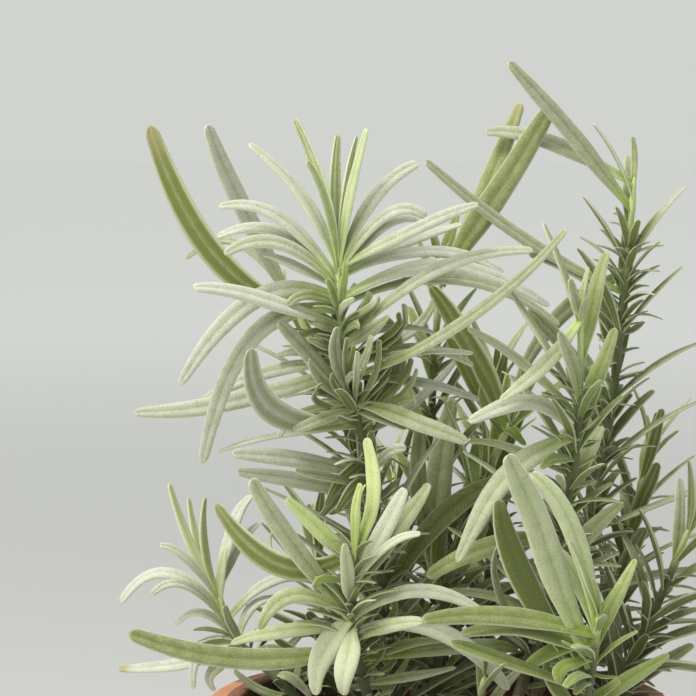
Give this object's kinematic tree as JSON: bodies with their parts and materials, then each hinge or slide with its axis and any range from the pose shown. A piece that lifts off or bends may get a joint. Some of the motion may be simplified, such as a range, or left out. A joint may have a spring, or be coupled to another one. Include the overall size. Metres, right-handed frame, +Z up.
{
  "type": "potted lavender plant",
  "caption": "Young English lavender, not in flower: upright leafy shoots with narrow grey-green felted leaves, growing from compost in a plain tapered terracotta pot.",
  "frame": {"origin": "centre of the pot's underside, on the surface that it stands on", "axes": "+Z up along the pot's axis; -Y is the side that the picture was taken from, +X is to its right"},
  "size_m": [0.1545, 0.1221, 0.2531],
  "materials": {
    "terracotta": "matte",
    "compost": "matte",
    "lavender_leaf": "matte"
  },
  "bodies": {
    "root": {"pot": "terracotta", "potting_compost": "compost", "shoot_middle": "lavender_leaf", "shoot_front": "lavender_leaf", "shoot_right": "lavender_leaf", "shoot_behind": "lavender_leaf", "shoot_left_low": "lavender_leaf", "shoot_right_near": "lavender_leaf", "shoot_left_tall": "lavender_leaf", "shoot_right_tall": "lavender_leaf", "shoot_inner": "lavender_leaf", "shoot_back_left": "lavender_leaf", "shoot_back_middle": "lavender_leaf", "shoot_back": "lavender_leaf", "shoot_back_right": "lavender_leaf", "shoot_right_low": "lavender_leaf", "shoot_front_low": "lavender_leaf"}
  },
  "joints": []
}
